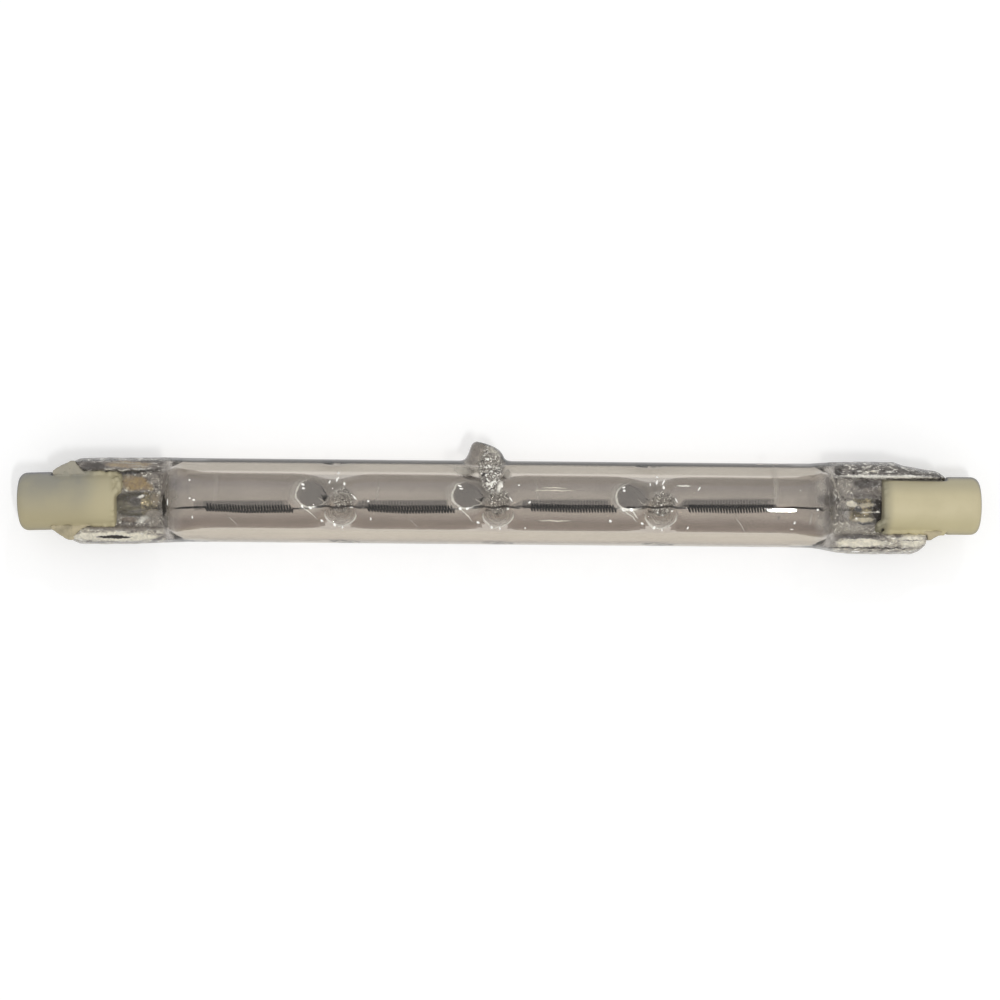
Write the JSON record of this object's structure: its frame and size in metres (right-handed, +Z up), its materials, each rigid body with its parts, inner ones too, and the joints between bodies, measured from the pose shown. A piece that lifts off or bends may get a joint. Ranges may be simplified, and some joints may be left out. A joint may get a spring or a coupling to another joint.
{
  "type": "linear halogen bulb",
  "caption": "Double-ended linear halogen bulb: a quartz tube with flat pinch seals, slotted ceramic caps with recessed contacts, and a coiled filament in dented supports.",
  "frame": {"origin": "on the tube's axis, midway between the two end faces", "axes": "+X along the tube towards the end with the broken rail, +Y towards the exhaust tip, +Z up, square to the flat pinch seals"},
  "size_m": [0.1176, 0.0134, 0.0103],
  "materials": {
    "quartz": "clear, wavy at the seals",
    "ceramic": "unglazed cream ceramic",
    "cement": "matt, lumpy",
    "tungsten": "dark bare wire",
    "foil": "dull streaked foil",
    "weld_tab": "mottled, glossy",
    "contact": "satin nickel"
  },
  "bodies": {
    "root": {"glass_envelope": "quartz", "filament": "tungsten", "ceramic_cap_left": "ceramic", "ceramic_cap_right": "ceramic", "cement_left": "cement", "cement_right": "cement", "foil_left": "foil", "foil_right": "foil", "weld_tab_left": "weld_tab", "weld_tab_right": "weld_tab", "outer_lead_left": "contact", "outer_lead_right": "contact", "contact_button_left": "contact", "contact_button_right": "contact"}
  },
  "joints": []
}
